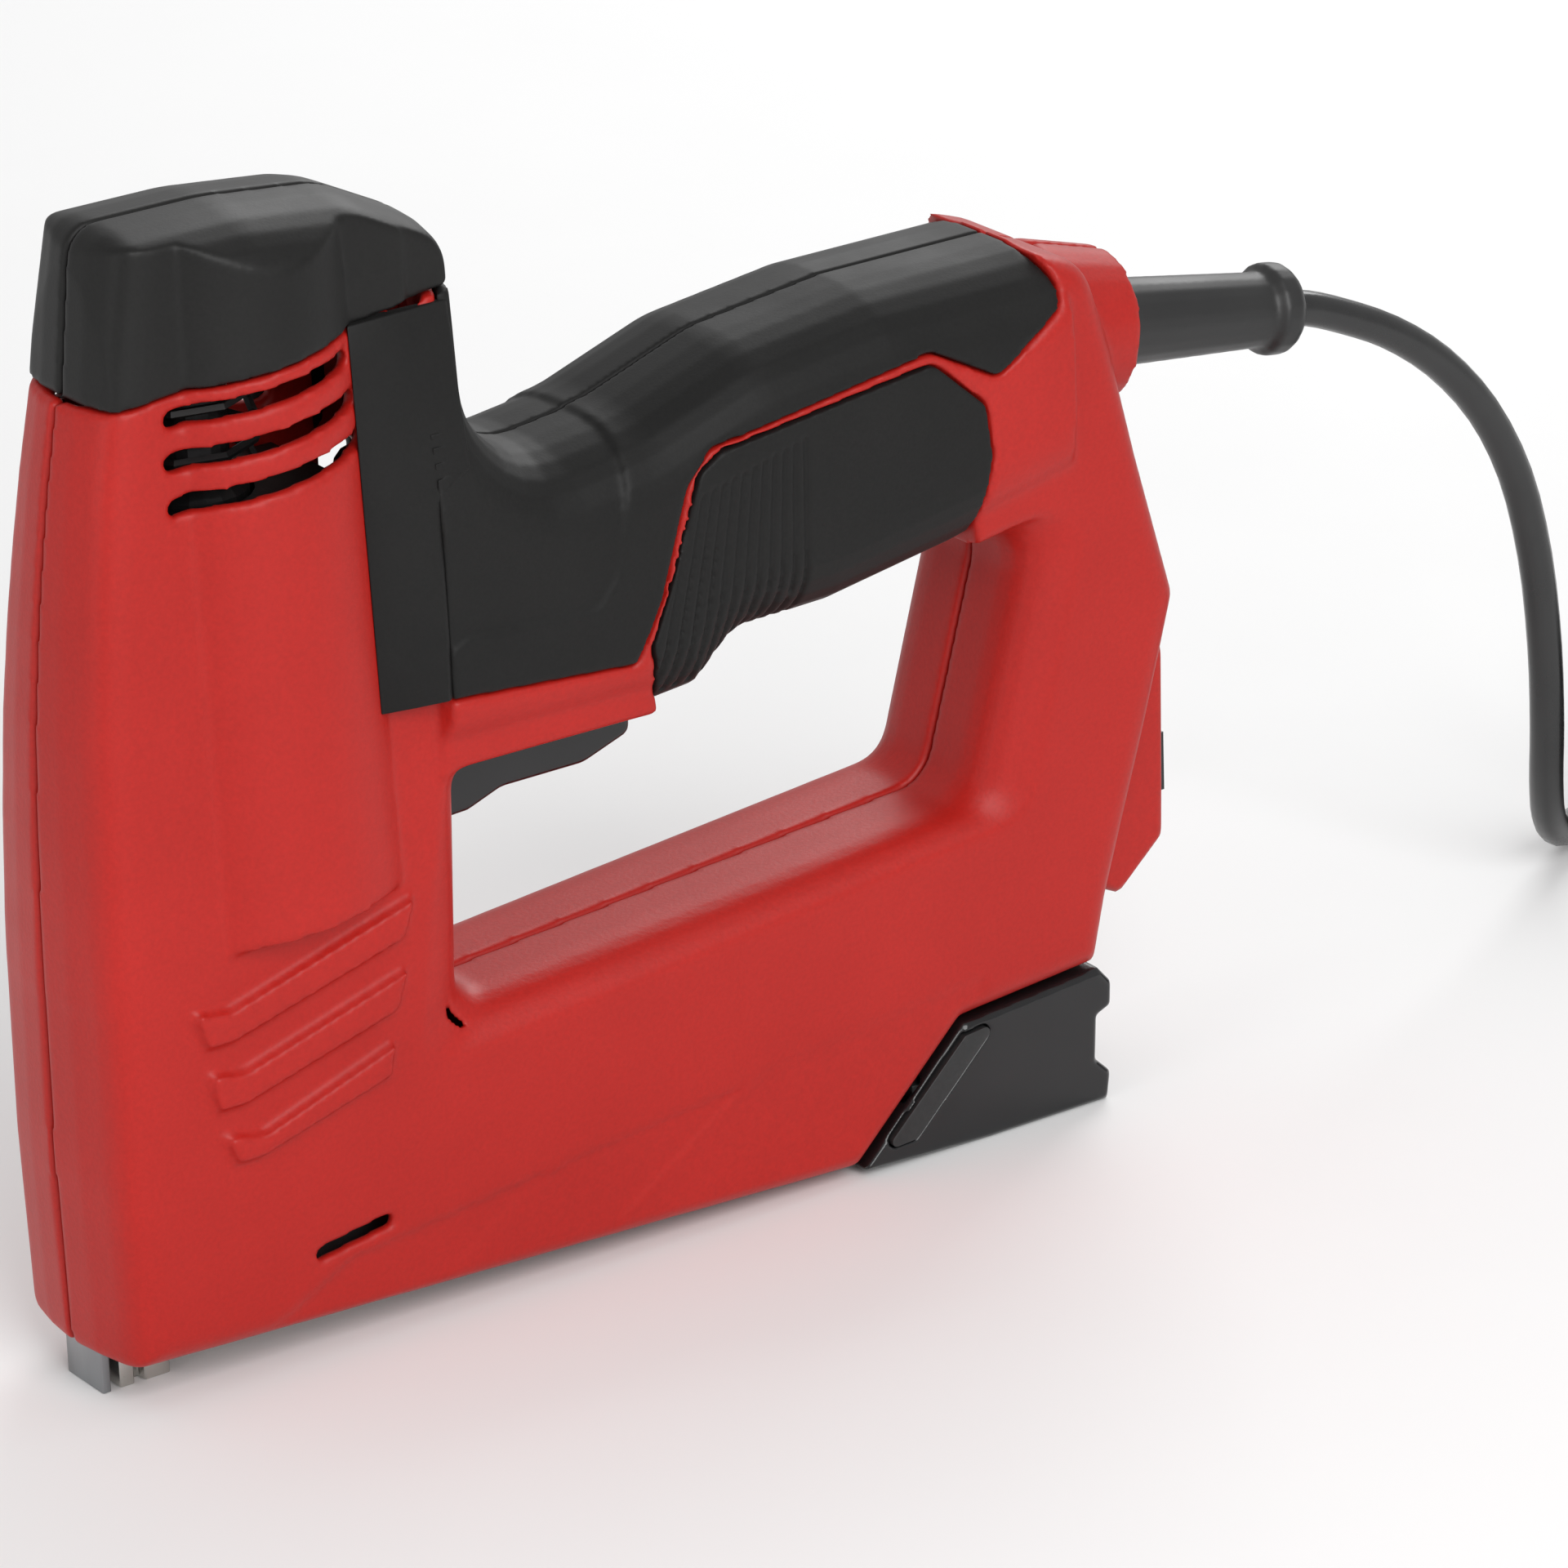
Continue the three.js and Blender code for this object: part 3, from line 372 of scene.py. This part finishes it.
def edged(source, body, material, width, segments=2, flat=2.0, limit=28):
    """A copy of a CAD piece with its coplanar faces joined and its edges rounded.
    Faces within flat degrees become one, and edges sharper than limit degrees are rounded."""
    stock = cad_copy(source)
    bmesh.ops.dissolve_limit(stock, angle_limit=math.radians(flat), use_dissolve_boundaries=False,
                             verts=stock.verts, edges=stock.edges)
    bmesh.ops.recalc_face_normals(stock, faces=stock.faces)
    sharp = [edge for edge in stock.edges
             if len(edge.link_faces) == 2 and edge.calc_face_angle(0) > math.radians(limit)]
    bmesh.ops.bevel(stock, geom=sharp, offset=width * mm, offset_type="OFFSET", segments=segments,
                    profile=0.5, affect="EDGES", clamp_overlap=True, material=-1)
    mesh = bpy.data.meshes.new(source + "_finished")
    stock.to_mesh(mesh)
    stock.free()
    mesh.polygons.foreach_set("use_smooth", [True] * len(mesh.polygons))
    mesh.set_sharp_from_angle(angle=math.radians(40))
    piece = bpy.data.objects.new(source + "_finished", mesh)
    bpy.context.scene.collection.objects.link(piece)
    dress(piece, material)
    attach(piece, body)
    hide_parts(source)
    return piece


gloss_black = finish("gloss_black", (0.006, 0.006, 0.0065), (0.010, 0.010, 0.011), (0.16, 0.26),
                     700, 0.000004, 35, specular=0.5)
textured_black = finish("textured_black", (0.012, 0.012, 0.0125), (0.018, 0.018, 0.018), (0.42, 0.55),
                        1100, 0.00004, 35, speckle=0.2)
plated_steel = finish("plated_steel", (0.36, 0.37, 0.38), (0.28, 0.29, 0.30), (0.30, 0.46),
                      900, 0.00001, 45, metallic=1.0, stretch=(1, 1, 0.15))
bright_zinc = finish("bright_zinc", (0.66, 0.64, 0.60), (0.50, 0.49, 0.46), (0.14, 0.30),
                     700, 0.000012, 50, metallic=1.0)

# ---- Magazine ----
# The black end block carries the rail out to the rear. It locks by two sprung side buttons.
moulded("magazine_end_block", "magazine", gloss_black, voxel=0.45, rounds=4, keep=0.8)
edged("left_release_button", "left_button", textured_black, 0.4)
edged("right_release_button", "right_button", textured_black, 0.4)
edged("magazine_tip", "magazine", bright_zinc, 0.35)
edged("magazine_rail", "magazine", bright_zinc, 0.2)
edged("nose_plate", "housing", plated_steel, 0.25)
edged("magazine_channel", "housing", plated_steel, 0.2)
edged("pusher", "pusher_body", plated_steel, 0.2)

# ---- Trigger ----
# Glossy black moulded lever on a steel pin. A small spring pushes it down.
moulded("trigger", "trigger_body", gloss_black, voxel=0.4, rounds=4)

# ---- Cord sleeve ----
# Rubber bend-protection sleeve, tapered, with a round bead at its end.
sleeve_rubber = finish("sleeve_rubber", (0.009, 0.009, 0.0095), (0.014, 0.014, 0.014), (0.34, 0.46),
                       900, 0.00001, 40, specular=0.5)
moulded("cord_sleeve", "housing", sleeve_rubber, voxel=0.45, rounds=6)

# ---- Plug ----
# Generic flat two-pin plug, moulded onto the cord, with round steel pins.
plug = moulded("plug_body", "housing", sleeve_rubber, voxel=0.6, rounds=8)
pins = [edged(f"plug_pin_{i}", "housing", plated_steel, 0.5, limit=50) for i in (1, 2)]
tie = edged("cord_tie", "housing", textured_black, 0.5)

# ---- Carried-over pieces ----
# Inner and small pieces whose solids already have their real shape only take their finish.
finishes = {
    "steel": plated_steel,
    "zinc": bright_zinc,
    "spring_steel": finish("spring_wire", (0.45, 0.45, 0.44), (0.34, 0.34, 0.33), (0.25, 0.38),
                           900, 0.000008, 80, metallic=1.0),
    "copper": finish("copper_winding", (0.55, 0.22, 0.09), (0.42, 0.16, 0.06), (0.25, 0.4),
                     1400, 0.00006, 60, metallic=1.0, stretch=(0.1, 0.1, 1)),
    "board": finish("solder_mask", (0.02, 0.10, 0.035), (0.03, 0.13, 0.05), (0.3, 0.45), 800, 0.00002, 70),
    "nylon": finish("nylon", (0.03, 0.03, 0.03), (0.04, 0.04, 0.04), (0.4, 0.55), 900, 0.00002, 50),
    "capacitor_sleeve": finish("capacitor_sleeve", (0.03, 0.05, 0.16), (0.04, 0.06, 0.2), (0.2, 0.3),
                               700, 0.00001, 60),
    "cord_rubber": sleeve_rubber,
    "bumper_rubber": finish("bumper_rubber", (0.02, 0.02, 0.02), (0.03, 0.03, 0.03), (0.6, 0.75),
                            900, 0.00003, 50),
    "gloss_black": gloss_black,
    "red_abs": red_abs,
    "soft_grip": grip_rubber,
}
slot_of = {row["node"]: row["material_slot"] for row in frame["record"]["subparts"]}
for name, solid in frame["nodes"].items():
    dress(solid, finishes[slot_of[name]])
# The solenoid's yoke, plunger and spring are blackened against rust.
blackened_steel = finish("blackened_steel", (0.03, 0.03, 0.032), (0.05, 0.048, 0.046), (0.4, 0.6),
                         900, 0.00002, 60, metallic=0.8)
for name in ("solenoid_yoke", "plunger", "return_spring"):
    dress(frame["nodes"][name], blackened_steel)

# ---- Floor, light and air ----
# A plain pale sweep under the tool, a large soft light over its left side and two fills.
floor_stock = bmesh.new()
bmesh.ops.create_grid(floor_stock, x_segments=1, y_segments=1, size=6)
floor_mesh = bpy.data.meshes.new("floor")
floor_stock.to_mesh(floor_mesh)
floor_stock.free()
floor = bpy.data.objects.new("floor", floor_mesh)
bpy.context.scene.collection.objects.link(floor)
floor.data.materials.append(finish("pale_floor", (0.86, 0.86, 0.86), (0.84, 0.84, 0.84), (0.7, 0.8),
                                   90, 0.00001, 3))


light_aim = Vector((0.1, 0, 0.09))


def soft_light(name, place, size, power):
    """A rectangular studio lamp that faces the middle of the tool."""
    lamp_data = bpy.data.lights.new(name, "AREA")
    lamp_data.shape = "RECTANGLE"
    lamp_data.size, lamp_data.size_y = size
    lamp_data.energy = power
    lamp = bpy.data.objects.new(name, lamp_data)
    lamp.location = place
    lamp.rotation_euler = (light_aim - Vector(place)).to_track_quat("-Z", "Y").to_euler()
    bpy.context.scene.collection.objects.link(lamp)


soft_light("key", (-0.1, -1.5, 1.1), (1.2, 1.2), 24)
soft_light("front_fill", (-1.5, -0.2, 0.5), (1.0, 1.0), 4)
soft_light("rear_rim", (1.2, 0.9, 1.0), (0.9, 0.9), 10)
air = bpy.data.worlds.new("air")
air.use_nodes = True
air.node_tree.nodes["Background"].inputs["Color"].default_value = (1, 1, 1, 1)
air.node_tree.nodes["Background"].inputs["Strength"].default_value = 0.57
bpy.context.scene.world = air
bpy.context.scene.view_settings.view_transform = "Standard"
